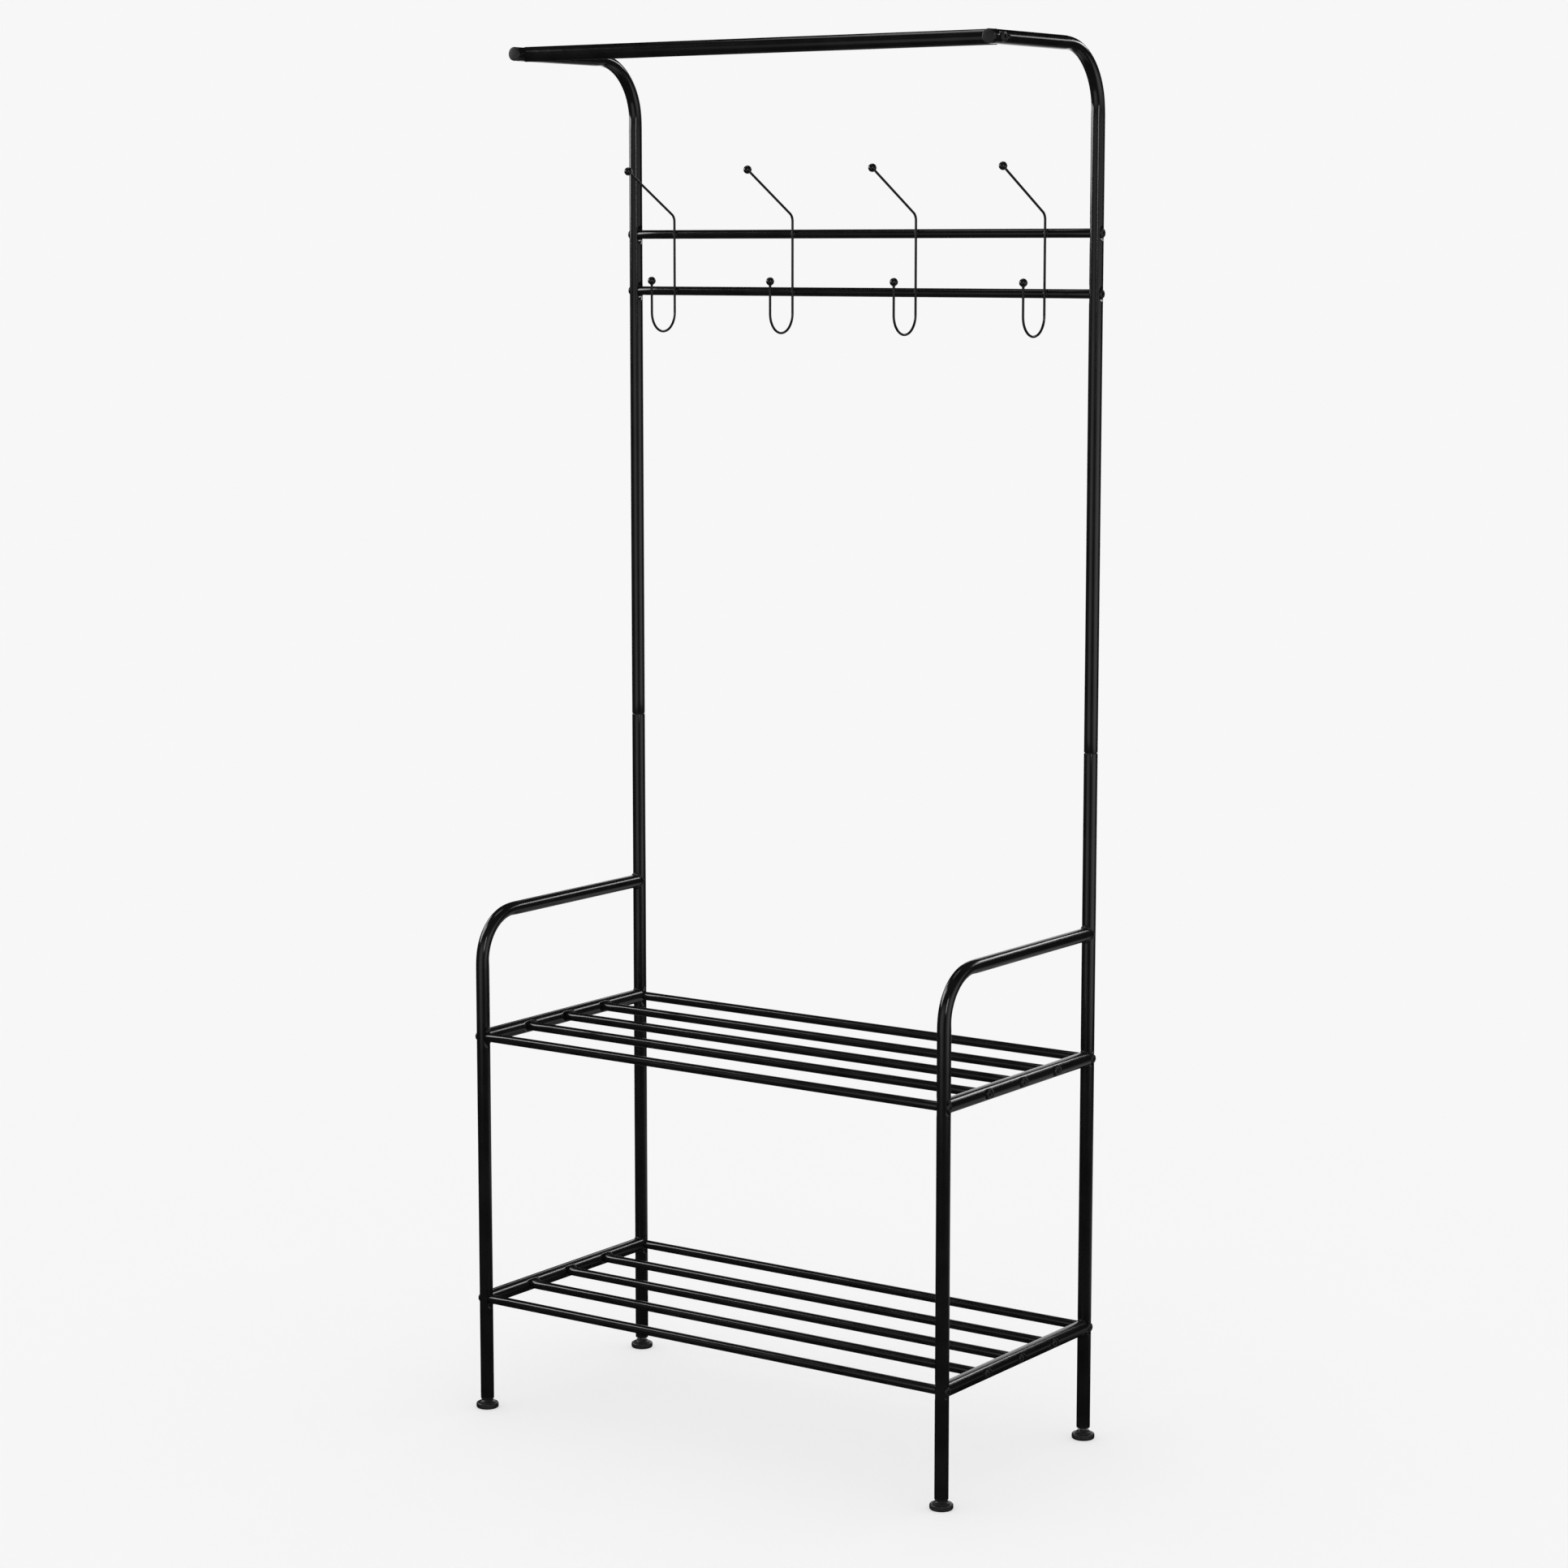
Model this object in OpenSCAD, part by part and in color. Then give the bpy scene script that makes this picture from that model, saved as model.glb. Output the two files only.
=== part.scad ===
// Hall tree with a shoe shelf, a bench seat shelf, four double hooks and a hanging rail.
// Two welded side frames of bent steel tube are bolted together by thinner cross bars.
// Millimetres. +X is the right side seen from the front, the front faces -Y, +Z is up.
// The origin is on the floor, in the middle of the footprint.

/* [Overall] */
// Distance between the centre planes of the two side frames
frame_w = 776; // [700:1:900]
// Distance between the centre lines of the front legs and the rear posts
frame_d = 368; // [330:1:420]
// Height from the floor to the top of the arms
total_h = 1930; // [1860:1:2000]

/* [Frame tube] */
// Outer diameter of the legs, armrests, posts and arms
tube_d = 19; // [18.5:0.5:20]
// Outer diameter of the side rails and the hanging rail
rail_d = 20.6; // [20:0.1:21]
// Wall thickness of both tubes
tube_wall = 1.2; // [1:0.1:1.3]
// Centre-line radius of the bend between a front leg and its armrest
armrest_bend_r = 67; // [50:1:80]
// Centre-line radius of the bend between an upper post and its arm
arm_bend_r = 85; // [70:1:100]

/* [Heights] */
// Height of the armrest's centre line
armrest_z = 719; // [690:1:760]
// Height of the bench seat shelf's centre plane
seat_z = 544; // [500:1:570]
// Height of the shoe shelf's centre plane
low_z = 161.5; // [120:0.5:220]
// Height of the joint between the lower and the upper rear post
post_joint_z = 970; // [900:1:1100]
// Height of the upper hook rail's centre line
hook_rail_z = 1673; // [1640:1:1690]
// Drop from the upper hook rail to the lower one
hook_rail_drop = 81; // [75:1:90]

/* [Bars] */
// Outer diameter of the shelf bars and hook rails
bar_d = 12.7; // [12:0.1:13]
// Wall thickness of a bar
bar_wall = 1; // [0.8:0.1:1.2]
// Distance between the three middle bars of a shelf
bar_pitch = 87; // [75:1:95]

/* [Arms] */
// Distance from the front of the arm caps back to the rear post's centre line
arm_reach = 279; // [250:1:300]
// Distance from the front of the arm caps back to the hanging rail's centre line
rail_setback = 24; // [24:1:40]

/* [Hooks] */
// Distance between neighbouring hooks
hook_pitch = 208; // [160:1:220]
// Diameter of the hook wire
wire_d = 3.5; // [3:0.1:4]
// Diameter of the balls on the wire's ends
ball_d = 11.6; // [10:0.1:13]
// Forward reach of the upper hook arm, from the upright wire to the ball's centre
hook_reach = 109; // [90:1:120]
// Rise of the upper hook arm over the same stretch
hook_rise = 63; // [50:1:80]
// Centre-line radius of the J at the bottom of a hook
j_radius = 27.5; // [20:0.5:35]

/* [Feet] */
// Diameter of a foot pad
pad_d = 32; // [28:0.5:36]
// Diameter of the threaded foot stud
stud_d = 8; // [7:0.5:9]
// Gap that shows between a rear foot's hub and the end of its post
rear_foot_gap = 3; // [2.8:0.1:5]

/* [Hidden] */
$fn = 64;

black_paint = [0.08, 0.08, 0.085];
black_plastic = [0.05, 0.05, 0.055];
zinc = [0.6, 0.6, 0.62];

left = -1;
right = 1;
sides = [left, right];
front_y = -frame_d / 2;
rear_y = frame_d / 2;
ends = [front_y, rear_y];
tube_r = tube_d / 2;
bore_d = tube_d - 2 * tube_wall;
rail_bore_d = rail_d - 2 * tube_wall;
eps = 0.5;            // overrun of a cut past the face that it opens
weld_gap = 0.05;      // a coped end stands this far off the tube that it is welded to
slip_gap = 0.1;       // radial play of a plug or sleeve in its tube

// Bar positions from the rear to the front, the same on both shelves
bar_ys = [rear_y, bar_pitch, 0, -bar_pitch, front_y];
middle_ys = [bar_pitch, 0, -bar_pitch];

// A bar is held by a bolt through a frame tube. The tube's wall is pressed in on both sides,
// to seat the bolt head outside and the bar's flat end inside. Seats are distances from the tube's axis.
bolt_d = 6;
bolt_hole_d = 6.5;
head_d = 12;
head_h = 3.2;
head_dimple_d = 13;
head_seat = tube_r - 1.8;
bar_dimple_d = bar_d + 0.6;
bar_seat = tube_r - 2.6;
socket_flats = 4;
bar_half = frame_w / 2 - bar_seat;
plug_len = 20;
thread_gap = 0.05;
bolt_in_bar = 16;
socket_floor = 0.3;   // height of a socket's floor in its bolt head, as a share of the head's height

// Hanging rail: coped ends against the arms, one larger bolt through each arm
arm_z = total_h - tube_r;
arm_tip_y = rear_y - arm_reach;
rail_y = arm_tip_y + rail_setback;
rail_bolt_d = 8;
rail_bolt_hole_d = 8.5;
rail_head_d = 14;
rail_head_h = 3.8;
rail_dimple_d = 15;
rail_head_seat = tube_r - 2.2;
rail_socket_flats = 5;
rail_plug_len = 25;
rail_end_trim = 3;       // the rail is thicker than the arms, so it stops this far short of their axes
rail_plug_inset = 13.3;  // from the arm's axis back to the outer face of the rail's plug
bolt_in_rail = 20;

cap_head = 3;
cap_edge_r = 1.5;
cap_plug_len = 11;
sleeve_len = 110;
sleeve_wall = 1.5;
joint_gap = 1;

// Hook wire, upright just in front of the rails
wire_y = rear_y - bar_d / 2 - wire_d / 2 - weld_gap;
hook_xs = [for (i = [-1.5:1:1.5]) i * hook_pitch];
hook_bend_r = 12;
hook_corner_up = 25;  // from the upper hook rail's centre line up to the corner of the bent wire
j_centre_drop = 111;  // from the same line down to the centre of the J
hook_lean = 90 - atan(hook_rise / hook_reach);
hook_corner_z = hook_rail_z + hook_corner_up;
hook_tangent = hook_bend_r * tan(hook_lean / 2);
hook_arm_len = norm([hook_reach, hook_rise]) - hook_tangent;
j_centre_z = hook_rail_z - j_centre_drop;
j_front_len = 45;
bend_swell = 0.04;    // the upper bend is this much thicker than the straight wire on either side of it
bend_overlap = 0.2;   // each straight stretch runs this far into the bend
ball_socket = 4;

// Feet: a swivelling pad on a threaded stud, which screws into an insert in the tube's end
hub_top = 12.5;
front_foot_gap = 0.5;
insert_flange = 2.5;
insert_len = 24;
insert_edge_r = 1.5;
pad_rim_h = 8;
pad_edge_r = 2.5;
step_r = 12;
step_top = 9.2;
cone_r = 11;
hub_r = 8.2;
stud_head_r = 6.5;
stud_head_z = 3;
stud_head_h = 2.7;
stud_top = 44;
pocket_gap = 0.3;

// Height of the underside of the insert in a leg's end
function insert_z(y) = hub_top + (y < 0 ? front_foot_gap : rear_foot_gap);
// Height of the tube's own end
function tube_end_z(y) = insert_z(y) + insert_flange;

// ---- Shared shapes ----

// Turns a shape that stands along +Z to lie along +X (side 1) or -X (side -1)
module along_x(side) {
    rotate([0, 90 * side, 0]) children();
}

// Turns a shape that stands along +Z to lie along +Y
module along_y() {
    rotate([-90, 0, 0]) children();
}

// Round rod bent through an angle in the YZ plane, from +Y towards +Z, about the origin
module bent_rod(d, bend_r, angle) {
    rotate([90, 0, 90])
        rotate_extrude(angle = angle)
            translate([bend_r, 0]) circle(d = d);
}

// Metal that is left inside a frame tube round the two pressed seats
module joint_cups(side) {
    along_x(side)
        translate([0, 0, head_seat - tube_wall])
            cylinder(d = head_dimple_d + 2 * tube_wall, h = tube_d);
    along_x(-side)
        translate([0, 0, bar_seat - tube_wall])
            cylinder(d = bar_dimple_d + 2 * tube_wall, h = tube_d);
}

// The two pressed seats and the bolt hole
module joint_cuts(side) {
    along_x(side)
        translate([0, 0, head_seat]) cylinder(d = head_dimple_d, h = tube_d);
    along_x(-side)
        translate([0, 0, bar_seat]) cylinder(d = bar_dimple_d, h = tube_d);
    along_x(side)
        cylinder(d = bolt_hole_d, h = 2 * tube_d, center = true);
}

// Frame tube: children(0) is its outside, children(1) its inside, and bars are bolted on at the points
module frame_tube(side, points) {
    difference() {
        children(0);
        difference() {
            children(1);
            for (p = points) translate(p) joint_cups(side);
        }
        for (p = points) translate(p) joint_cuts(side);
    }
}

// Vertical rod that cuts a coped end to fit round an upright tube at y
module cope(y) {
    translate([0, y, 0]) cylinder(d = tube_d + 2 * weld_gap, h = total_h);
}

// Bolt along +Z with its shank below the origin, a domed head above it and a hex socket
module socket_bolt(d, length, head_dia, head_height, flats) {
    edge_r = head_height / 3;
    difference() {
        union() {
            translate([0, 0, -length]) cylinder(d = d, h = length);
            rotate_extrude() {
                square([head_dia / 2, head_height - edge_r]);
                square([head_dia / 2 - edge_r, head_height]);
                intersection() {
                    translate([head_dia / 2 - edge_r, head_height - edge_r]) circle(r = edge_r);
                    square([head_dia / 2, head_height]);
                }
            }
        }
        translate([0, 0, head_height * socket_floor])
            cylinder(d = flats / cos(30), h = head_height, $fn = 6);
    }
}

// Threaded plug in the end of a bar, from the origin back along -Z
module end_plug(outer_d, inner_d, length) {
    difference() {
        translate([0, 0, -length]) cylinder(d = outer_d, h = length);
        translate([0, 0, -length - eps]) cylinder(d = inner_d, h = length + 2 * eps);
    }
}

// ---- Side frames ----

module front_leg_path(d, overrun) {
    translate([0, front_y, tube_end_z(front_y) - overrun])
        cylinder(d = d, h = armrest_z - armrest_bend_r - tube_end_z(front_y) + overrun);
    translate([0, front_y + armrest_bend_r, armrest_z - armrest_bend_r])
        rotate([0, 0, 180]) bent_rod(d, armrest_bend_r, 90);
    translate([0, front_y + armrest_bend_r, armrest_z])
        along_y() cylinder(d = d, h = frame_d - armrest_bend_r);
}

// Front leg and armrest: one bent tube, coped and welded to the rear post
module front_leg(side) {
    joints = [[0, front_y, low_z], [0, front_y, seat_z]];
    color(black_paint) translate([side * frame_w / 2, 0, 0]) difference() {
        frame_tube(side, joints) {
            front_leg_path(tube_d, 0);
            front_leg_path(bore_d, eps);
        }
        cope(rear_y);
    }
}

// Rear post from the foot to the joint
module rear_post(side) {
    joints = [[0, rear_y, low_z], [0, rear_y, seat_z]];
    bottom = tube_end_z(rear_y);
    length = post_joint_z - joint_gap / 2 - bottom;
    color(black_paint) translate([side * frame_w / 2, 0, 0])
        frame_tube(side, joints) {
            translate([0, rear_y, bottom]) cylinder(d = tube_d, h = length);
            translate([0, rear_y, bottom - eps]) cylinder(d = bore_d, h = length + 2 * eps);
        }
}

module upper_post_path(d, overrun) {
    bottom = post_joint_z + joint_gap / 2 - overrun;
    arm_back = arm_tip_y + cap_head - overrun;
    translate([0, rear_y, bottom])
        cylinder(d = d, h = arm_z - arm_bend_r - bottom);
    translate([0, rear_y - arm_bend_r, arm_z - arm_bend_r])
        bent_rod(d, arm_bend_r, 90);
    translate([0, arm_back, arm_z])
        along_y() cylinder(d = d, h = rear_y - arm_bend_r - arm_back);
}

// Upper post and arm: one bent tube
module upper_post(side) {
    joints = [[0, rear_y, hook_rail_z], [0, rear_y, hook_rail_z - hook_rail_drop]];
    rail_point = [0, rail_y, arm_z];
    color(black_paint) translate([side * frame_w / 2, 0, 0]) difference() {
        frame_tube(side, joints) {
            upper_post_path(tube_d, 0);
            difference() {
                upper_post_path(bore_d, eps);
                translate(rail_point) along_x(side)
                    translate([0, 0, rail_head_seat - tube_wall])
                        cylinder(d = rail_dimple_d + 2 * tube_wall, h = tube_d);
            }
        }
        translate(rail_point) along_x(side)
            translate([0, 0, rail_head_seat]) cylinder(d = rail_dimple_d, h = tube_d);
        translate(rail_point) along_x(side)
            cylinder(d = rail_bolt_hole_d, h = 2 * tube_d, center = true);
    }
}

// Inner sleeve that joins the lower and upper rear post
module post_sleeve(side) {
    sleeve_d = bore_d - 2 * slip_gap;
    color(black_paint) translate([side * frame_w / 2, rear_y, post_joint_z]) difference() {
        cylinder(d = sleeve_d, h = sleeve_len, center = true);
        cylinder(d = sleeve_d - 2 * sleeve_wall, h = sleeve_len + 2 * eps, center = true);
    }
}

// Side rail between a front leg and a rear post, with the middle bars bolted to it.
// The tips of its coped ends are cut away round the outer bars' ends and bolt heads.
module side_rail(side, z) {
    joints = [for (y = middle_ys) [0, y, z]];
    color(black_paint) translate([side * frame_w / 2, 0, 0]) difference() {
        frame_tube(side, joints) {
            translate([0, front_y, z]) along_y() cylinder(d = rail_d, h = frame_d);
            translate([0, front_y - eps, z]) along_y() cylinder(d = rail_bore_d, h = frame_d + 2 * eps);
        }
        for (y = ends) {
            cope(y);
            translate([0, y, z]) joint_cuts(side);
        }
    }
}

// Plastic cap in the front end of an arm
module arm_cap(side) {
    plug_d = bore_d - 2 * slip_gap;
    color(black_plastic) translate([side * frame_w / 2, arm_tip_y, arm_z]) along_y() {
        rotate_extrude() {
            translate([0, cap_edge_r]) square([tube_r, cap_head - cap_edge_r]);
            square([tube_r - cap_edge_r, cap_head]);
            intersection() {
                translate([tube_r - cap_edge_r, cap_edge_r]) circle(r = cap_edge_r);
                square([tube_r, cap_head]);
            }
        }
        translate([0, 0, cap_head - eps]) cylinder(d = plug_d, h = cap_plug_len + eps);
    }
}

// ---- Cross members ----

// Shelf bar or hook rail: a straight tube along X at y, z
module bar(y, z) {
    color(black_paint) translate([0, y, z]) along_x(right) difference() {
        cylinder(d = bar_d, h = 2 * bar_half, center = true);
        cylinder(d = bar_d - 2 * bar_wall, h = 2 * bar_half + 2 * eps, center = true);
    }
}

module bar_plugs(points) {
    color(zinc) for (side = sides, p = points)
        translate([side * bar_half, p[0], p[1]]) along_x(side)
            end_plug(bar_d - 2 * bar_wall - 2 * slip_gap, bolt_d + 2 * thread_gap, plug_len);
}

module bar_bolts(points) {
    length = head_seat + bar_seat + bolt_in_bar;
    color(black_paint) for (side = sides, p = points)
        translate([side * (frame_w / 2 + head_seat), p[0], p[1]]) along_x(side)
            socket_bolt(bolt_d, length, head_d, head_h, socket_flats);
}

// Points [y, z] where the bars of a shelf and the hook rails are bolted
function shelf_points(z) = [for (y = bar_ys) [y, z]];
hook_rail_points = [[rear_y, hook_rail_z], [rear_y, hook_rail_z - hook_rail_drop]];

// Hanging rail, coped to the arms
module hanging_rail() {
    color(black_paint) difference() {
        translate([0, rail_y, arm_z]) along_x(right) difference() {
            cylinder(d = rail_d, h = frame_w - 2 * rail_end_trim, center = true);
            cylinder(d = rail_bore_d, h = frame_w + 2 * eps, center = true);
        }
        for (side = sides)
            translate([side * frame_w / 2, arm_tip_y, arm_z])
                along_y() cylinder(d = tube_d + 2 * weld_gap, h = 2 * rail_setback);
    }
}

module hanging_rail_plugs() {
    color(zinc) for (side = sides)
        translate([side * (frame_w / 2 - rail_plug_inset), rail_y, arm_z]) along_x(side)
            end_plug(rail_bore_d - 2 * slip_gap, rail_bolt_d + 2 * thread_gap, rail_plug_len);
}

module hanging_rail_bolts() {
    length = rail_head_seat + rail_plug_inset + bolt_in_rail;
    color(black_paint) for (side = sides)
        translate([side * (frame_w / 2 + rail_head_seat), rail_y, arm_z]) along_x(side)
            socket_bolt(rail_bolt_d, length, rail_head_d, rail_head_h, rail_socket_flats);
}

// ---- Hooks ----

// Double wire hook: a J below, an upright welded to both rails, and an arm that leans forward above
module hook(x) {
    upright_top = hook_corner_z - hook_tangent;
    color(black_paint) translate([x, wire_y, 0]) {
        translate([0, 0, j_centre_z])
            cylinder(d = wire_d, h = upright_top - j_centre_z + bend_overlap);
        translate([0, -j_radius, j_centre_z]) rotate([180, 0, 0]) bent_rod(wire_d, j_radius, 180);
        translate([0, -2 * j_radius, j_centre_z]) cylinder(d = wire_d, h = j_front_len - ball_socket);
        translate([0, -hook_bend_r, upright_top]) {
            bent_rod(wire_d + bend_swell, hook_bend_r, hook_lean);
            rotate([hook_lean, 0, 0]) translate([0, hook_bend_r, -bend_overlap])
                cylinder(d = wire_d, h = hook_arm_len - ball_socket + bend_overlap);
        }
    }
}

// Steel balls on both ends of every hook, each with a blind hole for the wire
module hook_balls() {
    hole_d = wire_d + 2 * weld_gap;
    color(black_paint) for (x = hook_xs) translate([x, wire_y, 0]) {
        translate([0, -2 * j_radius, j_centre_z + j_front_len]) difference() {
            sphere(d = ball_d);
            translate([0, 0, -ball_d]) cylinder(d = hole_d, h = ball_d - ball_socket + weld_gap);
        }
        translate([0, -hook_reach, hook_corner_z + hook_rise]) rotate([hook_lean, 0, 0]) difference() {
            sphere(d = ball_d);
            translate([0, 0, -ball_d]) cylinder(d = hole_d, h = ball_d - ball_socket + weld_gap);
        }
    }
}

// ---- Feet ----

// Plastic insert in the end of each leg, with the thread for the foot stud
module leg_inserts() {
    color(black_plastic) for (side = sides, y = ends)
        translate([side * frame_w / 2, y, insert_z(y)]) difference() {
            union() {
                rotate_extrude() {
                    translate([0, insert_edge_r]) square([tube_r, insert_flange - insert_edge_r]);
                    square([tube_r - insert_edge_r, insert_flange]);
                    intersection() {
                        translate([tube_r - insert_edge_r, insert_edge_r]) circle(r = insert_edge_r);
                        square([tube_r, insert_flange]);
                    }
                }
                cylinder(d = bore_d - 2 * slip_gap, h = insert_len);
            }
            translate([0, 0, -eps]) cylinder(d = stud_d + 2 * thread_gap, h = insert_len + 2 * eps);
        }
}

// Threaded stud with a round head that the pad turns on
module foot_stud(side, y) {
    color(zinc) translate([side * frame_w / 2, y, 0]) {
        translate([0, 0, stud_head_z]) cylinder(r = stud_head_r, h = stud_head_h);
        translate([0, 0, stud_head_z]) cylinder(d = stud_d, h = stud_top - stud_head_z);
    }
}

// Half outline of a foot pad: flat sole, rounded rim, a step, and a cone up to the hub
module pad_outline() {
    pad_r = pad_d / 2;
    translate([0, pad_edge_r]) square([pad_r, pad_rim_h - 2 * pad_edge_r]);
    square([pad_r - pad_edge_r, pad_rim_h]);
    for (z = [pad_edge_r, pad_rim_h - pad_edge_r]) intersection() {
        translate([pad_r - pad_edge_r, z]) circle(r = pad_edge_r);
        square([pad_r, pad_rim_h]);
    }
    square([step_r, step_top]);
    polygon([[0, step_top], [cone_r, step_top], [hub_r, hub_top], [0, hub_top]]);
}

module foot_pad(side, y) {
    color(black_plastic) translate([side * frame_w / 2, y, 0]) difference() {
        rotate_extrude() pad_outline();
        translate([0, 0, stud_head_z - pocket_gap])
            cylinder(r = stud_head_r + pocket_gap, h = stud_head_h + 2 * pocket_gap);
        translate([0, 0, stud_head_z]) cylinder(d = stud_d + 2 * thread_gap, h = hub_top);
    }
}

front_leg(left);  // left_front_leg
front_leg(right);  // right_front_leg
rear_post(left);  // left_rear_post
rear_post(right);  // right_rear_post
upper_post(left);  // left_upper_post
upper_post(right);  // right_upper_post
post_sleeve(left);  // left_post_sleeve
post_sleeve(right);  // right_post_sleeve
side_rail(left, seat_z);  // left_seat_rail
side_rail(right, seat_z);  // right_seat_rail
side_rail(left, low_z);  // left_low_rail
side_rail(right, low_z);  // right_low_rail
arm_cap(left);  // left_arm_cap
arm_cap(right);  // right_arm_cap
hanging_rail();
bar(rear_y, hook_rail_z);  // upper_hook_rail
bar(rear_y, hook_rail_z - hook_rail_drop);  // lower_hook_rail
hook(hook_xs[0]);  // hook_1
hook(hook_xs[1]);  // hook_2
hook(hook_xs[2]);  // hook_3
hook(hook_xs[3]);  // hook_4
hook_balls();
bar(bar_ys[0], seat_z);  // seat_bar_1
bar(bar_ys[1], seat_z);  // seat_bar_2
bar(bar_ys[2], seat_z);  // seat_bar_3
bar(bar_ys[3], seat_z);  // seat_bar_4
bar(bar_ys[4], seat_z);  // seat_bar_5
bar(bar_ys[0], low_z);  // low_bar_1
bar(bar_ys[1], low_z);  // low_bar_2
bar(bar_ys[2], low_z);  // low_bar_3
bar(bar_ys[3], low_z);  // low_bar_4
bar(bar_ys[4], low_z);  // low_bar_5
bar_plugs(shelf_points(seat_z));  // seat_bar_plugs
bar_plugs(shelf_points(low_z));  // low_bar_plugs
bar_plugs(hook_rail_points);  // hook_rail_plugs
hanging_rail_plugs();
bar_bolts(shelf_points(seat_z));  // seat_bar_bolts
bar_bolts(shelf_points(low_z));  // low_bar_bolts
bar_bolts(hook_rail_points);  // hook_rail_bolts
hanging_rail_bolts();
leg_inserts();
foot_stud(left, front_y);  // front_left_foot_stud
foot_stud(right, front_y);  // front_right_foot_stud
foot_stud(left, rear_y);  // rear_left_foot_stud
foot_stud(right, rear_y);  // rear_right_foot_stud
foot_pad(left, front_y);  // front_left_foot_pad
foot_pad(right, front_y);  // front_right_foot_pad
foot_pad(left, rear_y);  // rear_left_foot_pad
foot_pad(right, rear_y);  // rear_right_foot_pad
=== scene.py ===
import math

import bmesh
import bpy
import numpy as np
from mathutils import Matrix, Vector


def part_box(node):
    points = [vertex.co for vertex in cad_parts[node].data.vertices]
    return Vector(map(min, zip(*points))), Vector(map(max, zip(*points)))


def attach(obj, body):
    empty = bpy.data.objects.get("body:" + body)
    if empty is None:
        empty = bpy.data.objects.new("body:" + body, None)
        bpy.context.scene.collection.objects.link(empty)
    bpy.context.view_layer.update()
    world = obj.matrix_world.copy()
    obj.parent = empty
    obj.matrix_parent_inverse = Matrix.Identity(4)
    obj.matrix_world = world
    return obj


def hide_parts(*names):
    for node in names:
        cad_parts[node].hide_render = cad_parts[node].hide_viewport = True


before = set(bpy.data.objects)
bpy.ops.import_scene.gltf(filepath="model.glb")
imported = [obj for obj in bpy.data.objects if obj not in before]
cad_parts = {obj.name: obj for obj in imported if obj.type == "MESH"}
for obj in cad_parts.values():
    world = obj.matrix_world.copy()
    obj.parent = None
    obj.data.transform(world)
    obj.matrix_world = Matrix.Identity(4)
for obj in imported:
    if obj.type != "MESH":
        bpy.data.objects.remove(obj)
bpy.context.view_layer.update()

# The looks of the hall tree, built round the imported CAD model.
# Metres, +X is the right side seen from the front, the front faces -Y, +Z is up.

scene = bpy.context.scene
MM = 0.001
X_AXIS = np.array([1.0, 0.0, 0.0])
Y_AXIS = np.array([0.0, 1.0, 0.0])
SIDES = (("left", -1), ("right", 1))


# ---- Places and sizes, read from the CAD model ----

def low(node):
    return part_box(node)[0]


def high(node):
    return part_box(node)[1]


def middle(node):
    return (low(node) + high(node)) / 2


def half_size(node):
    return (high(node) - low(node)) / 2


TUBE_R = half_size("left_rear_post").x
RAIL_R = half_size("left_seat_rail").z       # the side rails and the hanging rail
BAR_R = half_size("seat_bar_1").z
BAR_HALF = half_size("seat_bar_1").x
FRAME_X = middle("right_rear_post").x
REAR_Y = middle("right_rear_post").y
FRONT_Y = middle("front_right_foot_pad").y
SHELF_ZS = {"seat": middle("seat_bar_1").z, "low": middle("low_bar_1").z}
BAR_YS = [middle(f"seat_bar_{i}").y for i in range(1, 6)]
MIDDLE_BAR_YS = BAR_YS[1:4]
HOOK_RAIL_ZS = [middle("upper_hook_rail").z, middle("lower_hook_rail").z]
ARMREST_Z = high("left_front_leg").z - TUBE_R
ARM_Z = middle("hanging_rail").z
ARM_END_Y = low("left_upper_post").y
CAP_FACE_Y = low("left_arm_cap").y
HANGING_RAIL_Y = middle("hanging_rail").y
HOOK_XS = [middle(f"hook_{i}").x for i in range(1, 5)]

# Sizes that a box can't give, the same as in the CAD model
TUBE_WALL = 1.2 * MM
BAR_WALL = 1.0 * MM
ARMREST_BEND_R = 67 * MM
ARM_BEND_R = 85 * MM
WELD_GAP = 0.05 * MM
BAR_SEAT = TUBE_R - 2.6 * MM
HEAD_SEAT = TUBE_R - 1.8 * MM
RAIL_HEAD_SEAT = TUBE_R - 2.2 * MM
RAIL_BOLT_REACH = 33.3 * MM    # how far the hanging rail's bolts run in past the arm's axis
RAIL_END_TRIM = 3 * MM         # and how far short of the axis the thicker rail stops
BOLT_NOTCH_R = 6.6 * MM        # notch in a side rail's tips round the outer bars' ends and bolt heads
WIRE_R = 1.75 * MM
BALL_R = 5.8 * MM
BALL_SOCKET = 4 * MM
BALL_START = -68             # degrees below the ball's middle where the paint fillet ends
HOOK_BEND_R = 12 * MM
HOOK_REACH = 109 * MM
HOOK_RISE = 63 * MM
HOOK_CORNER_UP = 25 * MM     # from the upper hook rail up to the corner of the wire
J_RADIUS = 27.5 * MM
J_FRONT = 45 * MM

# How the real tube's surface differs from the plain CAD one
SEGMENTS = 72                # points round a tube
RIM_ROUND = 0.7 * MM         # rounding of a tube's free end
BEND_FLATTENING = 0.07       # how much thinner a bent tube is, in the plane of its bend
BEND_NARROWING = 0.025       # and across that plane
BEND_RAMP = 20 * MM          # length over which the bend's narrowing fades out
FINE_STEP = 0.9 * MM         # ring spacing where a tube is pressed in
BEND_STEP = 3 * MM
PLAIN_STEP = 40 * MM
LEAST_STEP = 0.07 * RIM_ROUND
COPE_ZONE = 3 * TUBE_R       # length over which a coped end's setback fades out


# ---- Materials ----

def new_material(name):
    """A material with a Principled shader; returns it with its node tree, shader and object coordinates."""
    material = bpy.data.materials.new(name)
    material.use_nodes = True
    tree = material.node_tree
    shader = tree.nodes["Principled BSDF"]
    coordinates = tree.nodes.new("ShaderNodeTexCoord").outputs["Object"]
    return material, tree, shader, coordinates


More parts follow.
